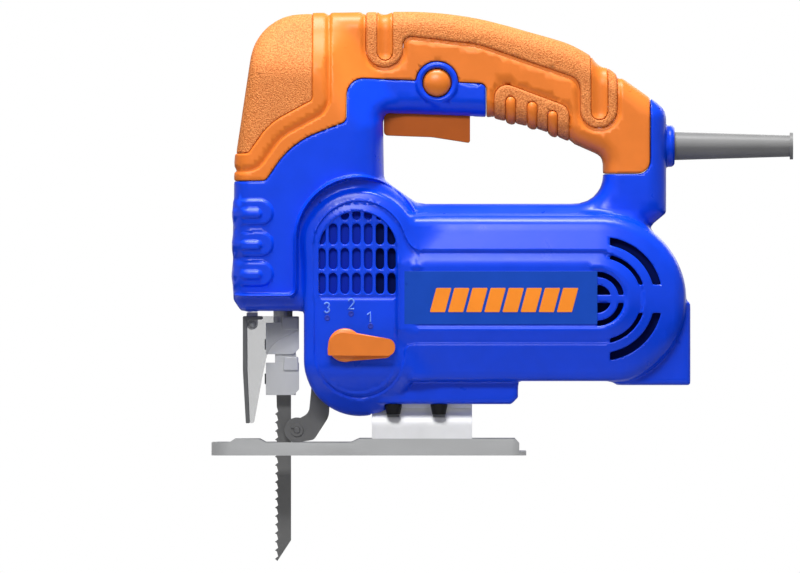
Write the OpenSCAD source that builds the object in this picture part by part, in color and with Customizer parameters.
// Orbital jigsaw with a closed D handle.
// Frame: X runs from the blade (front, -X) to the cord (rear, +X), Y across the tool, Z up.
// Origin: the blade's centreline where it crosses the sole of the shoe.

/* [Blade and stroke] */
// How far the blade's tip is below the sole
blade_reach = 49.8; // [42:1:60]
// Blade width, front to back
blade_width = 7.6; // [7:0.1:8]
// Blade thickness
blade_thickness = 1.2; // [1:0.1:1.4]
// Travel of the plunger
stroke = 18; // [12:1:18]

/* [Shoe] */
// Length of the sole
shoe_length = 147.6; // [144:1:152]
// Width of the sole
shoe_width = 75; // [74:1:80]
// Thickness of the sole plate
shoe_thickness = 2; // [1.8:0.1:2.2]

/* [Housing] */
// Half width of the handle
handle_half = 17; // [16.5:0.1:18]
// Half width of the gear head
head_half = 30; // [30:0.5:31]
// Half width of the motor barrel at the nameplate
barrel_half = 33; // [32.5:0.1:34]
// Wall of the clamshell
wall = 2.5; // [2:0.1:2.6]
// Thickness of the soft grip skin
grip_skin = 1.3; // [1:0.1:1.4]

/* [Gears] */
// Teeth of the drive gear
gear_teeth = 56; // [56:1:56]
// Teeth of the armature pinion
pinion_teeth = 8; // [8:1:8]
// Gear module
gear_module = 0.8; // [0.8:0.1:0.8]

/* [Hidden] */
$fn = 48;
eps = 0.01;
BLUE = "#1338c8";
ORANGE = "#e07b28";
STEEL = "#8a8d90";
DARK = "#2b2d30";
ALLOY = "#c9cbcc";
COPPER = "#b4622d";

// Datum lines
bevel_z = 12;                 // axis that the shoe tilts about
motor_z = 72.9;               // armature axis
mesh_distance = gear_module * (gear_teeth + pinion_teeth) / 2;
gear_z = motor_z + mesh_distance;
crank_radius = stroke / 2;
crank_y = crank_radius;       // the crank is level with the gear, at mid stroke
guide_pivot_z = 133;
arm_pivot = [20, 58];
roller_centre = [6.6, 11.75];
roller_pin_radius = 1.5;
selector = [29.2, 51.7];
guard_pivot = [-14.5, 61.5];
guard_pin_radius = 1.5;
trigger_pivot = [51, 166];
lock_centre = [72.4, 174.8];
lock_ring_radius = 9.9;
lock_radius = 6.7;
inlet_z = 145.2;              // cord inlet
port_z = 50.5;                // dust outlet
port_radius = 13.5;
inlet_collar = [9.8, 172, 184.1];   // radius, x0, x1
cord_bore = 3.75;

// Outer lines of the housing, corners as [x, z, corner radius], counter-clockwise
nose_bottom = 67.7;
frame_corners = [
  [-19.7, nose_bottom, 2], [10.2, nose_bottom, 1], [20, 90, 2], [150, 90, 2], [172.5, 107.6, 1],
  [180, 113.7, 2], [180, 162.5, 9], [137.1, 192.7, 55], [80.6, 208.6, 170], [-12.5, 207.4, 25],
  [-22.8, 138.7, 60], [-23.3, 73.3, 3]
];
hole_corners = [
  [47.5, 129.3, 4], [63.5, 118, 4], [150.4, 118.1, 13], [150.3, 140.3, 5], [120.8, 153.2, 60],
  [95.9, 158.9, 8], [47, 160.7, 3]
];
head_corners = [
  [-19.7, nose_bottom, 2], [58, nose_bottom, 1], [58, 117, 4], [46.8, 129, 4], [46.8, 160, 10],
  [22, 180, 14], [-8, 180, 15], [-20.5, 155, 20], [-23.3, 73.3, 3]
];
grip_corners = [
  [-40, 128.2, 0], [-8, 128.8, 3], [4.2, 146.6, 40], [29.8, 156.5, 3], [30.1, 177.2, 8],
  [95.4, 174.4, 3], [95.6, 145, 0], [140, 132.1, 0], [172.5, 132.1, 6],
  [172.5, 230, 0], [-40, 230, 0]
];

// The outer edges drop by one step: the half width outside it, and how far in it lies
handle_step_half = handle_half - 4;
edge_inset = 3;
head_step_half = head_half - 7;
head_inset = 3.5;

// Motor barrel: steps of [radius about the motor axis, half width]
barrel_rear_x = 149;
barrel_front_x = 36;
barrel_floor_z = 34.8;
barrel_steps = [[40.4, 17], [36, 25], [31, 30], [24, barrel_half]];
// Gear cover: the upright stadium on each side
cover_x = 36.2;
cover_radius = 26.3;
cover_low_z = 44.65;
cover_high_z = 97;
cover_half = barrel_half;
panel_x = 35.2;
panel_radius = 18.7;
panel_low_z = 48.3;
panel_high_z = 96;
panel_half = cover_half - 1.5;
taper_top_z = 41;             // below this the cover narrows, to clear the tilted shoe
taper_low_half = 13.2;
keel = [45, 110.5, 24, 40];   // x0, x1, z0, z1
keel_half = 21.5;
port_block = [160, 191.3, 32.9, 72];
port_block_half = 19.5;

screw_places = [
  [-11, 181], [24, 152], [103, 182], [155, 161], [166, 121], [70, 108], [140, 106], [150, 40], [100, 31.5]
];
screw_radius = 1.8;
screw_head = [3.3, 2.6];      // radius, height
screw_seat_y = 6;             // floor of the counterbores in the right half
boss_radius = 3.6;
foot_screw_x = [51.9, 73.3];
foot_screw_y = 16.4;
foot_screw_radius = 2.5;
foot_head_radius = 4;
clamp_bolt_x = foot_screw_x;
clamp_bolt_radius = 2.5;
saddle = [41.8, 88.8];        // x0, x1
saddle_radius = bevel_z + 2;

// ---------- shape helpers ----------

function left_normal(p, q) = let (d = [q.x - p.x, q.y - p.y]) [-d.y, d.x] / norm(d);

// Moves every side of a counter-clockwise outline inwards by t (outwards if t is negative)
function inset(c, t) = [
  for (i = [0 : len(c) - 1])
    let (
      p = c[(i + len(c) - 1) % len(c)], q = c[i], s = c[(i + 1) % len(c)],
      n1 = left_normal(p, q), n2 = left_normal(q, s),
      convex = cross([q.x - p.x, q.y - p.y], [s.x - q.x, s.y - q.y]) > 0,
      m = (n1 + n2) * (t / (1 + n1 * n2))
    )
    [q.x + m.x, q.y + m.y, q[2] == 0 ? 0 : max(convex ? q[2] - t : q[2] + t, 0.4)]
];

// The arc that rounds corner q, between neighbours p and s
function corner_arc(p, q, s, r, n) =
  let (
    a = [p.x - q.x, p.y - q.y] / norm([p.x - q.x, p.y - q.y]),
    b = [s.x - q.x, s.y - q.y] / norm([s.x - q.x, s.y - q.y]),
    half = acos(a * b) / 2,
    c = [q.x, q.y] + (a + b) / norm(a + b) * r / sin(half),
    t0 = [q.x, q.y] + a * r / tan(half) - c,
    t1 = [q.x, q.y] + b * r / tan(half) - c,
    start = atan2(t0.y, t0.x),
    turn = atan2(cross(t0, t1), t0 * t1)
  )
  [for (k = [0 : n]) c + r * [cos(start + turn * k / n), sin(start + turn * k / n)]];

function rounded(c, n = 6) = [
  for (i = [0 : len(c) - 1])
    let (p = c[(i + len(c) - 1) % len(c)], q = c[i], s = c[(i + 1) % len(c)])
    each (q[2] == 0 ? [[q.x, q.y]] : corner_arc(p, q, s, q[2], n))
];

// Extrudes a shape drawn in X and Z, from y0 to y1
module slab(y0, y1) translate([0, y1, 0]) rotate([90, 0, 0]) linear_extrude(y1 - y0) children();
module rod_x(y, z, r, x0, x1) translate([x0, y, z]) rotate([0, 90, 0]) cylinder(r = r, h = x1 - x0);
module rod_y(x, z, r, y0, y1) translate([x, y1, z]) rotate([90, 0, 0]) cylinder(r = r, h = y1 - y0);
module rod_z(x, y, r, z0, z1) translate([x, y, z0]) cylinder(r = r, h = z1 - z0);
module tube_x(y, z, r, bore, x0, x1) difference() {
  rod_x(y, z, r, x0, x1);
  rod_x(y, z, bore, x0 - 1, x1 + 1);
}
module box(x0, x1, y0, y1, z0, z1) translate([x0, y0, z0]) cube([x1 - x0, y1 - y0, z1 - z0]);
module both_sides() { children(); mirror([0, 1, 0]) children(); }

// An upright stadium in X and Z, from y0 to y1
module upright(x, low, high, r, y0, y1) {
  rod_y(x, low, r, y0, y1);
  rod_y(x, high, r, y0, y1);
  box(x - r, x + r, y0, y1, low, high);
}

// A coil along Z, swept as one closed tube
module coil(radius, wire, turns, height, sides = 6, steps = 12) {
  n = turns * steps;
  points = [
    for (k = [0 : n]) let (a = 360 * k / steps, z = wire + (height - 2 * wire) * k / n)
      for (j = [0 : sides - 1]) let (b = 360 * j / sides, r = radius + wire * cos(b))
        [r * cos(a), r * sin(a), z + wire * sin(b)]
  ];
  sides_faces = [
    for (k = [0 : n - 1]) for (j = [0 : sides - 1])
      let (i = k * sides, m = (j + 1) % sides) [i + j, i + sides + j, i + sides + m, i + m]
  ];
  ends = [[for (j = [0 : sides - 1]) j], [for (j = [sides - 1 : -1 : 0]) n * sides + j]];
  polyhedron(points, concat(sides_faces, ends));
}

// ---------- clamshell ----------

// The left half of the housing as a solid, t inside its outer surface
module body_half(t) difference() {
  body_half_blocks(t);
  upright(panel_x, panel_low_z, panel_high_z, panel_radius + t, -cover_half - 1, -(panel_half - t));
}

module body_half_blocks(t) {
  difference() {
    union() {
      slab(-(handle_step_half - t), 0) polygon(rounded(inset(frame_corners, t)));
      slab(-(handle_half - t), 0) polygon(rounded(inset(frame_corners, t + edge_inset)));
    }
    slab(-(handle_step_half - t), 1) polygon(rounded(inset(hole_corners, -t)));
    slab(-handle_half - 1, -(handle_step_half - t)) polygon(rounded(inset(hole_corners, -t - edge_inset)));
  }
  slab(-(head_step_half - t), 0) polygon(rounded(inset(head_corners, t)));
  slab(-(head_half - t), 0) polygon(rounded(inset(head_corners, t + head_inset)));
  barrel_half_solid(t);
  cover_half_solid(t);
  difference() {
    box(keel[0] + t, keel[1] - t, -keel_half + t, 0, keel[2] + t, keel[3]);
    translate([keel[1], 0, keel[2]]) rotate([0, 45, 0]) box(-4 - t, 4 + t, -40, 1, -4 - t, 4 + t);
  }
  box(port_block[0] + t, port_block[1] - t, -port_block_half + t, 0, port_block[2] + t, port_block[3] - t);
  rod_half_x(inlet_z, inlet_collar[0] - t, inlet_collar[1], inlet_collar[2] - t);
}

module rod_half_x(z, r, x0, x1) intersection() {
  rod_x(0, z, r, x0, x1);
  box(x0, x1, -r, 0, z - r, z + r);
}

module barrel_half_solid(t) intersection() {
  for (s = barrel_steps) {
    rod_y(barrel_rear_x, motor_z, s[0] - t, -(s[1] - t), 0);
    box(barrel_front_x + t, barrel_rear_x, -(s[1] - t), 0, motor_z - s[0] + t, motor_z + s[0] - t);
  }
  box(0, 200, -50, 1, barrel_floor_z + t, 200);
}

module cover_half_solid(t) difference() {
  upright(cover_x, cover_low_z, cover_high_z, cover_radius - t, -(cover_half - t), 0);
  translate([0, t * 0.79, t * 0.62]) rotate([90, 0, 90]) linear_extrude(80)
    polygon([[-taper_low_half, 18.3], [-taper_low_half, 0], [-60, 0], [-60, taper_top_z], [-31, taper_top_z]]);
}

module vent_slots(y0, y1) {
  pitch = [5.5, 11.5];
  for (column = [0 : 6], row = [0 : 2])
    let (x = 18.1 + column * pitch.x, z = 80.2 + row * pitch.y, r = 1.85, h = 3)
      if (norm([x - panel_x, z + h - panel_high_z]) < panel_radius - 0.5 || z + h < panel_high_z)
        intersection() {
          upright(x, z - h, z + h, r, y0, y1);
          upright(panel_x, panel_low_z, panel_high_z, panel_radius - 0.3, y0, y1);
        }
}

// One curved vent round the rear of the barrel, open on either side of the middle bar
module arc_vent(x, outer, inner, bar, y0, y1) intersection() {
  difference() {
    rod_y(x, motor_z, outer, y0, y1);
    rod_y(x, motor_z, inner, y0 - 1, y1 + 1);
  }
  union() {
    box(x + 5, x + outer, y0, y1, motor_z + bar, motor_z + outer);
    box(x + 5, x + outer, y0, y1, motor_z - outer, motor_z - bar);
  }
}

module finger_ribs(y0, y1) for (z = [85.5, 99.3, 113.1]) {
  rod_y(-8.9, z, 2.4, y0, y1);
  box(-19, -8.9, y0, y1, z - 2.4, z + 2.4);
}

module guard_lug() difference() {
  slab(-12.5, -9.5) union() {
    translate(guard_pivot) circle(2.6);
    translate([guard_pivot.x - 2.6, guard_pivot.y]) square([5.2, 9]);
  }
  rod_y(guard_pivot.x, guard_pivot.y, guard_pin_radius + 0.1, -13, -9);
}

// Ribs that hold the stator and the rear bearing
module inner_ribs() {
  for (x = [90, 107]) difference() {
    intersection() {
      barrel_half_solid(wall - eps);
      box(x, x + 3, -40, 0, 30, 112);
    }
    rod_x(0, motor_z, stator_radius, x - 1, x + 4);
  }
  difference() {
    intersection() {
      barrel_half_solid(wall - eps);
      box(rear_bearing_x[0], rear_bearing_x[1], -40, 0, motor_z - 12, motor_z + 14);
    }
    rod_x(0, motor_z, rear_bearing_radius, rear_bearing_x[0] - 1, rear_bearing_x[1] + 1);
  }
}

module bosses() intersection() {
  for (p = screw_places) rod_y(p.x, p.y, boss_radius, -40, 0);
  body_half(1);
}

module body_openings() {
  box(-9.5, 14, -13.5, 1, nose_bottom - 3, 72);
  box(6, 24, -6, 1, 16, 46);
  box(46, 89.4, -9.4, 1, 145, 166);
  rod_y(lock_centre.x, lock_centre.y, lock_radius + 0.2, -30, 1);
  box(saddle[0] - 0.5, saddle[1] + 0.5, -13, 1, 15, keel[2] + wall + 0.5);
  for (x = foot_screw_x) {
    rod_z(x, -foot_screw_y, foot_screw_radius, 20, keel[2] + wall + 1);
    rod_z(x, -foot_screw_y, foot_head_radius + 0.3, 15, keel[2]);
  }
  rod_x(0, inlet_z, 6.7, 170, 190);
  rod_x(0, port_z, port_radius + 2, 179, 195);
  rod_x(0, port_z, port_radius - 1, 170, 180);
  for (p = screw_places) rod_y(p.x, p.y, screw_radius + 0.05, -10, 1);
  vent_slots(-40, -panel_half + 4);
  arc_vent(barrel_rear_x, 29.2, 25.4, 6.6, -40, -10);
  arc_vent(barrel_rear_x, 21, 18.8, 6.6, -40, -10);
  arc_vent(barrel_rear_x - 6, 13.2, 10.6, 2, -40, -20);
  box(56.9, 147.6, -40, -barrel_half + 0.4, 61.4, 86.5);
}

module grip_region(y0, y1) slab(y0, y1) polygon(rounded(grip_corners));

module half_shell() {
  difference() {
    union() {
      difference() {
        body_half(0);
        body_half(wall);
      }
      inner_ribs();
      bosses();
      finger_ribs(-head_half - 1.2, -head_half + 1);
      rod_y(lock_centre.x, lock_centre.y, lock_ring_radius, -handle_half - 1.3, -handle_half + 3);
      guard_lug();
    }
    body_openings();
    difference() {
      grip_region(-40, 1);
      body_half(grip_skin);
      rod_y(lock_centre.x, lock_centre.y, lock_ring_radius, -40, 1);
    }
  }
}

module grip_half() difference() {
  intersection() {
    body_half(0);
    grip_region(-40, 0);
  }
  body_half(grip_skin);
  rod_y(lock_centre.x, lock_centre.y, lock_ring_radius, -40, 1);
  body_openings();
}

module counterbores() for (p = screw_places) rod_y(p.x, p.y, screw_head[0] + 0.2, screw_seat_y, 60);

module housing_left() color(BLUE) difference() {
  half_shell();
  rod_y(selector.x, selector.y, 4.1, -40, -20);
}
module housing_right() color(BLUE) difference() {
  mirror([0, 1, 0]) half_shell();
  counterbores();
}
module grip_left() color(ORANGE) grip_half();
module grip_right() color(ORANGE) difference() {
  mirror([0, 1, 0]) grip_half();
  counterbores();
}
module housing_screws() color(DARK) for (p = screw_places) difference() {
  union() {
    rod_y(p.x, p.y, screw_radius, -9, screw_seat_y + eps);
    rod_y(p.x, p.y, screw_head[0], screw_seat_y, screw_seat_y + screw_head[1]);
  }
  translate([p.x, screw_seat_y + screw_head[1] + 0.1, p.y]) rotate([90, 0, 0]) cylinder(r = 1.6, h = 1.6, $fn = 6);
}
module nameplate() box(57, 147.5, -barrel_half - 0.1, -barrel_half + 0.4, 61.5, 86.4);
module nameplate_left() color("#1447a8") nameplate();
module nameplate_right() color("#1447a8") mirror([0, 1, 0]) nameplate();
module air_baffle() color(BLUE) both_sides() box(17, 43.4, -28.8, -27.6, 75, 110);

// ---------- gear case and its fixed pins ----------

case_half = 27.3;
case_x = [-16, 36];
case_z = [70.5, 142];
axle_radius = 4;
pin_radius = 2.5;             // the guide's trunnions and the roller arm's pin
module gear_case() color(ALLOY) difference() {
  union() {
    difference() {
      box(case_x[0] + 1.3, case_x[1], -case_half, case_half, case_z[0] + 4, case_z[1]);
      box(case_x[0], case_x[1], -20, 20, case_z[0], case_z[0] + 5);
      box(case_x[0] + 3, case_x[1] - 6, -24, 24, case_z[0] + 7, case_z[1] + 1);
      box(case_x[0] + 3, case_x[1] - 6, -17, 17, case_z[0] + 3, case_z[1] + 1);
      box(-9.5, case_x[1] - 6, -13, 13, case_z[0] - 1, case_z[0] + 4);
    }
    box(30, 36, -20, 20, 57, 75);
    rod_x(0, motor_z, 14, 30, 39);
    rod_x(0, gear_z, 8, 30, 41);
    both_sides() slab(-9.3, -5.3) union() {
      translate(arm_pivot) circle(6);
      translate([arm_pivot.x, 57]) square([11, 7]);
    }
  }
  rod_x(0, motor_z, front_bearing_radius, 31, 45);
  rod_x(0, motor_z, 5.5, 25, 45);
  rod_x(0, gear_z, axle_radius, 25, 45);
  both_sides() rod_y(0, guide_pivot_z, pin_radius, -30, -20);
  rod_y(arm_pivot.x, arm_pivot.y, pin_radius, -12, 12);
}
module gear_axle() color(STEEL) rod_x(0, gear_z, axle_radius, 19.6, 41);
module guide_trunnions() color(STEEL) both_sides() rod_y(0, guide_pivot_z, pin_radius, -case_half, -8.4);
module arm_pivot_pin() color(STEEL) rod_y(arm_pivot.x, arm_pivot.y, pin_radius, -9.3, 9.3);

// ---------- motor ----------

stator_x = [80, 120];
stator_radius = 27;
armature_radius = 16.8;
air_gap = 0.8;
shaft_radius = 4;
tail_radius = 3.5;            // the shaft's thinner rear end
front_bearing_radius = 11;
rear_bearing_radius = 9.5;
rear_bearing_x = [172, 178];
commutator_x = [132, 146];
commutator_radius = 9;
brush_x = [135, 143];
brush_half = 3;
module stator_core() color(STEEL) tube_x(0, motor_z, stator_radius, armature_radius + air_gap, stator_x[0], stator_x[1]);
module field_coils() color(COPPER) for (x = [stator_x[0] - 8, stator_x[1]]) tube_x(0, motor_z, 26, 18.5, x, x + 8);
module front_bearing() color(STEEL) tube_x(0, motor_z, front_bearing_radius, shaft_radius + 0.03, 31, 38);
module rear_bearing() color(STEEL)
  tube_x(0, motor_z, rear_bearing_radius, tail_radius + 0.03, rear_bearing_x[0], rear_bearing_x[1]);
module brush_holders() color("#a8842c") both_sides() difference() {
  box(brush_x[0] - 1.2, brush_x[1] + 1.2, -24, -10.6, motor_z - brush_half - 1.2, motor_z + brush_half + 1.2);
  box(brush_x[0] - 0.02, brush_x[1] + 0.02, -23, -9, motor_z - brush_half - 0.02, motor_z + brush_half + 0.02);
}
module carbon_brushes() color(DARK) both_sides()
  box(brush_x[0], brush_x[1], -21, -commutator_radius - 0.1, motor_z - brush_half, motor_z + brush_half);

module armature_shaft() color(STEEL) {
  rod_x(0, motor_z, shaft_radius, 29, 160);
  rod_x(0, motor_z, tail_radius, 159, 180);
  translate([19.6, 0, motor_z]) rotate([0, 90, 0])
    linear_extrude(9.5) gear_outline(pinion_teeth, gear_module, 0.15, 180 / pinion_teeth);
}
module armature_core() color(STEEL) tube_x(0, motor_z, armature_radius, shaft_radius, stator_x[0], stator_x[1]);
module armature_windings() color(COPPER) for (x = [stator_x[0] - 10, stator_x[1]])
  tube_x(0, motor_z, 14.5, shaft_radius, x, x + 10);
module commutator() color(COPPER) difference() {
  tube_x(0, motor_z, commutator_radius, shaft_radius, commutator_x[0], commutator_x[1]);
  for (k = [0 : 11]) translate([0, 0, motor_z]) rotate([k * 30, 0, 0]) box(130, 150, -0.3, 0.3, 8.2, 10);
}
fan_x = [48, 60, 62];         // front of the hub, front and back of the disc
fan_radius = 25;
fan_blades = 11;
module fan() color(DARK) {
  tube_x(0, motor_z, 8, shaft_radius, fan_x[0], fan_x[2]);
  tube_x(0, motor_z, fan_radius, 7.9, fan_x[1], fan_x[2]);
  for (k = [0 : fan_blades - 1]) translate([0, 0, motor_z]) rotate([k * 360 / fan_blades, 0, 0])
    box(fan_x[0] + 2, fan_x[1] + eps, -0.8, 0.8, 7.5, fan_radius - 0.5);
}

// Tooth flanks follow the involute of a 28 degree rack, thinned a little for backlash
pressure_angle = 28;
backlash = 0.16;
function involute(base, a) = [base * (cos(a) + a * PI / 180 * sin(a)), base * (sin(a) - a * PI / 180 * cos(a))];
function roll_angle(base, r) = sqrt(max(pow(r / base, 2) - 1, 0)) * 180 / PI;
module gear_outline(teeth, m, shift, turn) {
  pitch = teeth * m / 2;
  base = pitch * cos(pressure_angle);
  tip = pitch + m * (0.92 + shift);
  root = pitch - m * (1.15 - shift);
  start = max(base, root + 0.02);
  tooth = 90 / teeth + (2 * shift * tan(pressure_angle) - backlash / m) / teeth * 180 / PI;
  at_pitch = involute(base, roll_angle(base, pitch));
  half = tooth + atan2(at_pitch.y, at_pitch.x);
  flank = [
    for (k = [0 : 4])
      let (p = involute(base, roll_angle(base, start + (tip - start) * k / 4))) [norm(p), atan2(p.y, p.x) - half]
  ];
  polygon([
    for (k = [0 : teeth - 1])
      let (c = turn + k * 360 / teeth)
        each concat(
          [root * [cos(c + flank[0][1]), sin(c + flank[0][1])]],
          [for (f = flank) f[0] * [cos(c + f[1]), sin(c + f[1])]],
          [for (j = [4 : -1 : 0]) let (f = flank[j]) f[0] * [cos(c - f[1]), sin(c - f[1])]],
          [root * [cos(c - flank[0][1]), sin(c - flank[0][1])]]
        )
  ]);
}

// ---------- crank ----------

gear_x = [20, 28];
crank_pin_radius = 2.5;
crank_roller_radius = 4;
module drive_gear() color(STEEL) difference() {
  translate([gear_x[0], 0, gear_z]) rotate([0, 90, 0])
    linear_extrude(gear_x[1] - gear_x[0]) gear_outline(gear_teeth, gear_module, -0.15, 0);
  rod_x(0, gear_z, axle_radius + 0.05, 10, 40);
  tube_x(0, gear_z, 19.5, 8, gear_x[1] - 2, gear_x[1] + 1);
  rod_x(crank_y, gear_z, crank_pin_radius, 10, 40);
}
module counterweight() color(STEEL) difference() {
  rod_x(0, gear_z, 19, 17.6, gear_x[0]);
  box(10, 30, -2, 30, gear_z - 30, gear_z + 30);
  rod_x(0, gear_z, 5, 10, 30);
}
module crank_pin() color(STEEL) rod_x(crank_y, gear_z, crank_pin_radius, 11, 26);
module crank_roller() color(ALLOY) tube_x(crank_y, gear_z, crank_roller_radius, crank_pin_radius, 10.4, 17.2);

// ---------- plunger and its guide ----------

plunger_radius = 4.5;
module plunger_guide() color(ALLOY) difference() {
  union() {
    box(-12, -8, -8, 8, 74.5, 140);
    for (z = [[74.5, 81.5], [126, 140]]) box(-8.1, 8, -8, 8, z[0], z[1]);
  }
  rod_z(0, 0, 6.5, 70, 145);
  rod_y(0, guide_pivot_z, pin_radius + 0.05, -12, 12);
}
module bushing(z0, z1) difference() {
  rod_z(0, 0, 6.5, z0, z1);
  rod_z(0, 0, plunger_radius + 0.03, z0 - 1, z1 + 1);
  both_sides() rod_y(0, guide_pivot_z, pin_radius + 0.1, -12, -6.2);
}
module upper_bushing() color(COPPER) bushing(126, 140);
module lower_bushing() color(COPPER) bushing(74.5, 81.5);
module plunger() color(STEEL) rod_z(0, 0, plunger_radius, 56, 158);
module yoke() color(STEEL) difference() {
  union() {
    box(6, 10, -16.6, 16.6, gear_z - 6.5, gear_z + 6.5);
    box(-6.5, 6.1, -6.5, 6.5, gear_z - 6.5, gear_z + 6.5);
  }
  rod_z(0, 0, plunger_radius, 60, 150);
  box(5.5, 11, -13.6, 13.6, gear_z - 4.2, gear_z + 4.2);
}

// ---------- blade and clamp ----------

clamp_blocks = [[28.2, 43.4], [47.4, 62.2]];
clamp_screw_z = [35.8, 52];
clamp_screw_radius = 2.5;
module clamp_block(z0, z1) slab(-8, 8) polygon([
  [-8, z0], [5, z0], [7.5, z0 + 2.6], [7.5, z1], [-8, z1]
]);
module blade_slot() {
  half = [blade_width / 2 + 0.05, blade_thickness / 2 + 0.05];
  box(-half.x, half.x, -half.y, half.y, 20, 55);
}
module blade_clamp() color(STEEL) difference() {
  union() {
    box(-3.7, 6, -5, 5, 28.2, 60);
    box(-0.6, 7.5, -8, 8, 59.7, 65.1);
    box(-3.7, 6.2, -7, 7, 43.4, 47.4);
  }
  blade_slot();
  rod_z(0, 0, plunger_radius, 55.9, 70);
  for (z = clamp_screw_z) rod_x(0, z, clamp_screw_radius, -10, -blade_width / 2 + 0.9);
}
module clamp_jaws() color("#9a9c9e") difference() {
  for (b = clamp_blocks) clamp_block(b[0], b[1]);
  box(-3.85, 6, -5, 5, 20, 60);
  box(-0.6, 8, -9, 9, 59.7, 66);
  rod_z(0, 0, plunger_radius, 55.9, 70);
  for (z = clamp_screw_z) rod_x(0, z, clamp_screw_radius, -10, -3);
}
module clamp_screws() color(DARK) for (z = clamp_screw_z) difference() {
  rod_x(0, z, clamp_screw_radius, -8.6, -blade_width / 2 - 0.02);
  translate([-8.7, 0, z]) rotate([0, 90, 0]) cylinder(r = 1.5, h = 2.4, $fn = 6);
}

tooth_pitch = 4;
tooth_depth = 1.5;
module blade() color(DARK) slab(-blade_thickness / 2, blade_thickness / 2) {
  front = -blade_width / 2;
  back = blade_width / 2;
  count = floor((blade_reach + 24) / tooth_pitch);
  teeth = [
    for (k = [0 : count - 1])
      let (z = -blade_reach + 1 + k * tooth_pitch)
        each [[front, z], [front + tooth_depth, z + 1.2], [front + 0.9, z + tooth_pitch - 0.5]]
  ];
  polygon(concat(
    [[back, 54.9], [front, 54.9]],
    [for (k = [len(teeth) - 1 : -1 : 0]) teeth[k]],
    [[front + 1.2, -blade_reach], [back, -blade_reach + 9.8]]
  ));
}

// ---------- blade guide roller ----------

module roller_arm_outline() {
  translate(roller_centre) circle(5.9);
  translate(arm_pivot) circle(5.5);
  polygon(rounded([
    [6.6, 5.9, 0], [14.6, 7.2, 3], [21.6, 18, 8], [22.4, 36, 20], [25.4, 57, 0], [14.6, 57, 0],
    [13.2, 30, 30], [12.2, 19.6, 5], [8, 17.4, 0]
  ]));
}
module roller_arm() color("#77797c") difference() {
  slab(-5, 5) roller_arm_outline();
  box(-2, 13.4, -3.2, 3.2, 0, 25);
  rod_y(roller_centre.x, roller_centre.y, 5.8, -3.2, 3.2);
  rod_y(roller_centre.x, roller_centre.y, roller_pin_radius, -10, 10);
  rod_y(arm_pivot.x, arm_pivot.y, pin_radius + 0.05, -10, 10);
}
module roller_pin() color(STEEL) rod_y(roller_centre.x, roller_centre.y, roller_pin_radius, -6.2, 6.2);
module pin_clips() color(DARK) both_sides() difference() {
  rod_y(roller_centre.x, roller_centre.y, 3, -5.8, -5);
  rod_y(roller_centre.x, roller_centre.y, roller_pin_radius, -7, -4);
  box(roller_centre.x - 4, roller_centre.x, -7, -4, roller_centre.y - 0.9, roller_centre.y + 0.9);
}
groove_radius = roller_centre.x - blade_width / 2 - 0.1;
module guide_roller() color(STEEL) translate([roller_centre.x, 0, roller_centre.y]) rotate([90, 0, 0])
  rotate_extrude() polygon([
    [roller_pin_radius + 0.05, -3], [5, -3], [5, -1.3], [groove_radius, -0.8],
    [groove_radius, 0.8], [5, 1.3], [5, 3], [roller_pin_radius + 0.05, 3]
  ]);

// ---------- controls ----------

module selector_lever() color(ORANGE) translate([selector.x, 0, selector.y]) {
  rod_y(0, 0, 8.1, -panel_half - 4.6, -panel_half - 0.3);
  slab(-panel_half - 7, -panel_half - 1.8) union() {
    circle(7.4);
    translate([20, -1.1]) circle(3.6);
    polygon([[0.6, 7.4], [20.6, 2.4], [19.5, -4.7], [-0.6, -7.4]]);
  }
}
module selector_shaft() color(STEEL) difference() {
  rod_y(selector.x, selector.y, 4, -panel_half - 0.3, 9);
  box(selector.x - 5, selector.x - 2.2, -4.8, 4.8, selector.y - 5, selector.y + 5);
}

module trigger() color(ORANGE) difference() {
  slab(-9, 9) polygon(rounded([
    [47.4, 150.2, 2], [70, 149.4, 30], [87.9, 146.6, 1], [87.9, 165.5, 1], [60, 165.5, 4], [55, 169, 2], [47.4, 169, 2]
  ]));
  rod_y(trigger_pivot.x, trigger_pivot.y, 1.55, -9.1, 9.1);
  rod_z(80, 0, 4.6, 155, 170);
}
module switch_body() color(DARK) {
  box(62, 92, -9.6, 9.6, 171, 194);
  rod_y(trigger_pivot.x, trigger_pivot.y, 1.5, -9.35, 9.35);
  both_sides() slab(-10.4, -9.3) polygon([[48, 163.6], [54.6, 163.6], [63, 171], [63, 176], [60, 176], [48, 168]]);
  both_sides() box(61, 64.3, -10.4, -9.3, 171, 178);
}
module trigger_spring() color(STEEL) translate([80, 0, 155.05]) coil(2.6, 0.5, 6, 15.9);
module suppressor() color("#d8c23a") box(97, 122, -7, 7, 165, 174);

module lock_button() color(ORANGE) difference() {
  union() {
    rod_y(lock_centre.x, lock_centre.y, lock_radius, -19.8, -13);
    rod_y(lock_centre.x, lock_centre.y, lock_radius + 0.9, -13.8, -12.9);
  }
  rod_y(lock_centre.x, lock_centre.y, 4, -17.5, -12);
}
module lock_spring() color(STEEL) translate([lock_centre.x, -9.65, lock_centre.y]) rotate([90, 0, 0]) coil(2.4, 0.4, 5, 7.8);

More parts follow.
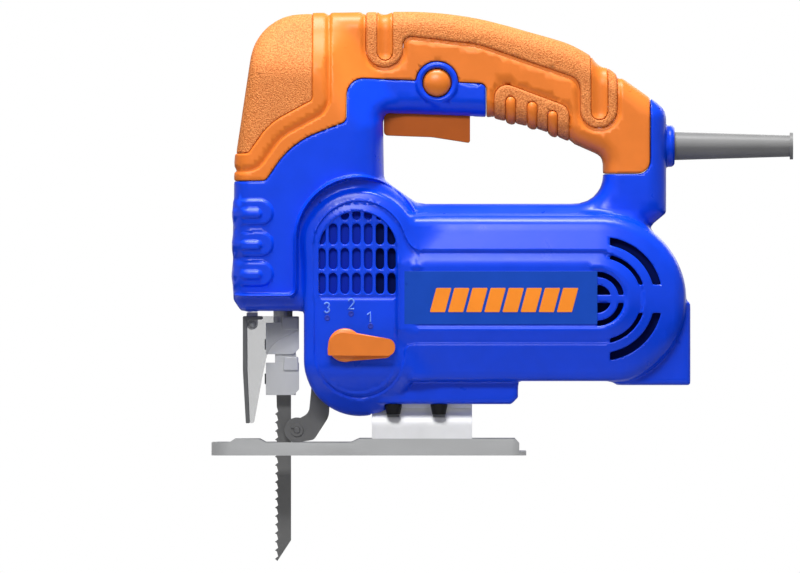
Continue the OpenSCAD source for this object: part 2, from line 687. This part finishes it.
// Hood of clear plastic round the front of the blade clamp
guard_front = -18.8;
guard_cheek = [13, 14.5];
module guard_side() polygon(rounded([
  [guard_front + 1.6, 15, 1], [-13.2, 15, 2], [-9.6, 36, 20], [-6.5, 52, 14], [7.4, 58.6, 2],
  [7.4, 65.3, 1], [guard_front, 65.3, 1], [guard_front, 40, 60]
]));
module chip_guard() color("#e8ecee", 0.5) {
  difference() {
    slab(-guard_cheek[1], guard_cheek[1]) guard_side();
    box(guard_front + 1.5, 20, -guard_cheek[0], guard_cheek[0], 0, 80);
    box(guard_front - 1, 20, -guard_cheek[0], guard_cheek[0], guard_pivot.y - 4, 80);
    slab(-guard_cheek[0], guard_cheek[0]) translate([1.6, 0])
      polygon([[guard_front, 80], [guard_front, 40], [guard_front + 1.6, 10], [0, 10], [0, 80]]);
  }
  both_sides() rod_y(guard_pivot.x, guard_pivot.y, guard_pin_radius, -guard_cheek[0] - 0.2, -9.6);
}

// ---------- cord inlet, dust outlet ----------

module cord_guard() color(STEEL) difference() {
  translate([0, 0, inlet_z]) rotate([0, 90, 0]) union() {
    translate([0, 0, 171]) cylinder(r = 9, h = 4);
    translate([0, 0, 175 - eps]) cylinder(r = 6.6, h = 9.2);
    translate([0, 0, 184.1]) cylinder(r1 = 6.6, r2 = 5, h = 54.3);
    translate([0, 0, 238.2]) cylinder(r = 6.3, h = 1.5);
  }
  rod_x(0, inlet_z, cord_bore, 165, 245);
}
module cord_clamp() color(DARK) difference() {
  box(158, 167, -12, 12, inlet_z - 7, inlet_z + 7);
  rod_x(0, inlet_z, cord_bore, 150, 170);
  rod_y(screw_places[3].x, screw_places[3].y, boss_radius + 0.1, -20, 20);
}
module dust_sleeve() color(DARK) tube_x(0, port_z, port_radius + 2, port_radius, 179, 191.2);

// ---------- tilting shoe ----------

module tilt_seat() color(ALLOY) difference() {
  union() {
    box(47.7, saddle[1] - 0.2, -18.8, 18.8, keel[2] + wall, 36);
    box(47.7, saddle[1] - 0.2, -12.3, 12.3, 22, keel[2] + wall + eps);
  }
  rod_x(0, bevel_z, saddle_radius + 0.2, 30, 100);
  for (x = clamp_bolt_x) rod_z(x, 0, clamp_bolt_radius + 0.05, 20, 40);
  for (x = foot_screw_x) both_sides() rod_z(x, -foot_screw_y, foot_screw_radius + 0.1, 20, 40);
}
module foot_screws() color(DARK) for (x = foot_screw_x) both_sides() difference() {
  union() {
    rod_z(x, -foot_screw_y, foot_screw_radius, keel[2] - eps, 34);
    translate([x, -foot_screw_y, keel[2] - 1]) mirror([0, 0, 1])
      cylinder(r1 = foot_head_radius, r2 = foot_head_radius - 0.8, h = 3.8);
    rod_z(x, -foot_screw_y, foot_head_radius, keel[2] - 1 - eps, keel[2]);
  }
  rod_z_hex(x, -foot_screw_y, 1.9, keel[2] - 6, keel[2] - 2);
}
module rod_z_hex(x, y, r, z0, z1) translate([x, y, z0]) cylinder(r = r, h = z1 - z0, $fn = 6);
module tilt_clamp_plate() color(STEEL) difference() {
  intersection() {
    rod_x(0, bevel_z, saddle_radius - 2.6, 48, 83);
    box(40, 90, -20, 20, 17.5, 40);
  }
  for (x = clamp_bolt_x) rod_z(x, 0, clamp_bolt_radius + 0.1, 10, 40);
}
module tilt_clamp_bolts() color(DARK) for (x = clamp_bolt_x) difference() {
  union() {
    rod_z(x, 0, clamp_bolt_radius, 17.4, 34);
    rod_z(x, 0, 4.25, 12.7, 17.5);
  }
  rod_z_hex(x, 0, 2, 12, 15.5);
}

shoe_x = [-33.4, -33.4 + shoe_length];
slot_half = 13;
slot_end = 30;
rim_wall = 2.4;
rim_reach = 28.6;             // the rim wraps the corners down to this half width
rim_low = 6.1;
rim_high = 7.9;
module shoe_outline(inset) polygon(rounded([
  [shoe_x[0] + inset, -shoe_width / 2 + inset, 9 - inset], [shoe_x[1] - inset, -shoe_width / 2 + inset, 7 - inset],
  [shoe_x[1] - inset, shoe_width / 2 - inset, 7 - inset], [shoe_x[0] + inset, shoe_width / 2 - inset, 9 - inset]
]));
module shoe_plan() difference() {
  shoe_outline(0);
  polygon(rounded([
    [shoe_x[0] - 9, -slot_half, 0], [slot_end, -slot_half, 6], [slot_end, slot_half, 6], [shoe_x[0] - 9, slot_half, 0]
  ]));
}
module shoe_plate() color("#b4b6b7") {
  linear_extrude(shoe_thickness) shoe_plan();
  both_sides() intersection() {
    difference() {
      linear_extrude(rim_high + 1) shoe_outline(0);
      translate([0, 0, -1]) linear_extrude(rim_high + 3) shoe_outline(rim_wall);
    }
    slab(-shoe_width / 2 - 1, -rim_reach) polygon([
      [shoe_x[0] - 1, shoe_thickness - eps], [shoe_x[1] - 3.3, shoe_thickness - eps], [shoe_x[1] - 3.3, rim_high - 2],
      [shoe_x[1] - 5.2, rim_high], [36, rim_high], [32, rim_low], [-8, rim_low], [-11, rim_high - 0.2],
      [-22.5, rim_high - 0.2], [-25, rim_low], [shoe_x[0] - 1, rim_low]
    ]);
  }
}
module shoe_saddle() color(ALLOY) difference() {
  union() {
    rod_x(0, bevel_z, saddle_radius, saddle[0], saddle[1]);
    box(saddle[0], saddle[1], -saddle_radius, saddle_radius, shoe_thickness, bevel_z);
  }
  rod_x(0, bevel_z, saddle_radius - 2.5, 30, 100);
  box(30, 100, -saddle_radius + 2.5, saddle_radius - 2.5, -10, bevel_z);
  box(30, 100, -20, 20, -10, shoe_thickness);
  for (x = clamp_bolt_x) box(x - 2.8, x + 2.8, -20, 20, bevel_z + 5.8, 40);
}

// ---------- one node at a time ----------

housing_left();
housing_right();
grip_left();
grip_right();
housing_screws();
nameplate_left();
nameplate_right();
air_baffle();
gear_case();
gear_axle();
guide_trunnions();
arm_pivot_pin();
stator_core();
field_coils();
front_bearing();
rear_bearing();
brush_holders();
carbon_brushes();
switch_body();
suppressor();
trigger_spring();
lock_spring();
cord_guard();
cord_clamp();
dust_sleeve();
tilt_seat();
foot_screws();
tilt_clamp_plate();
tilt_clamp_bolts();
armature_shaft();
armature_core();
armature_windings();
commutator();
fan();
drive_gear();
counterweight();
crank_pin();
crank_roller();
plunger_guide();
upper_bushing();
lower_bushing();
plunger();
yoke();
blade_clamp();
clamp_jaws();
clamp_screws();
blade();
roller_arm();
roller_pin();
pin_clips();
guide_roller();
selector_lever();
selector_shaft();
trigger();
lock_button();
chip_guard();
shoe_plate();
shoe_saddle();
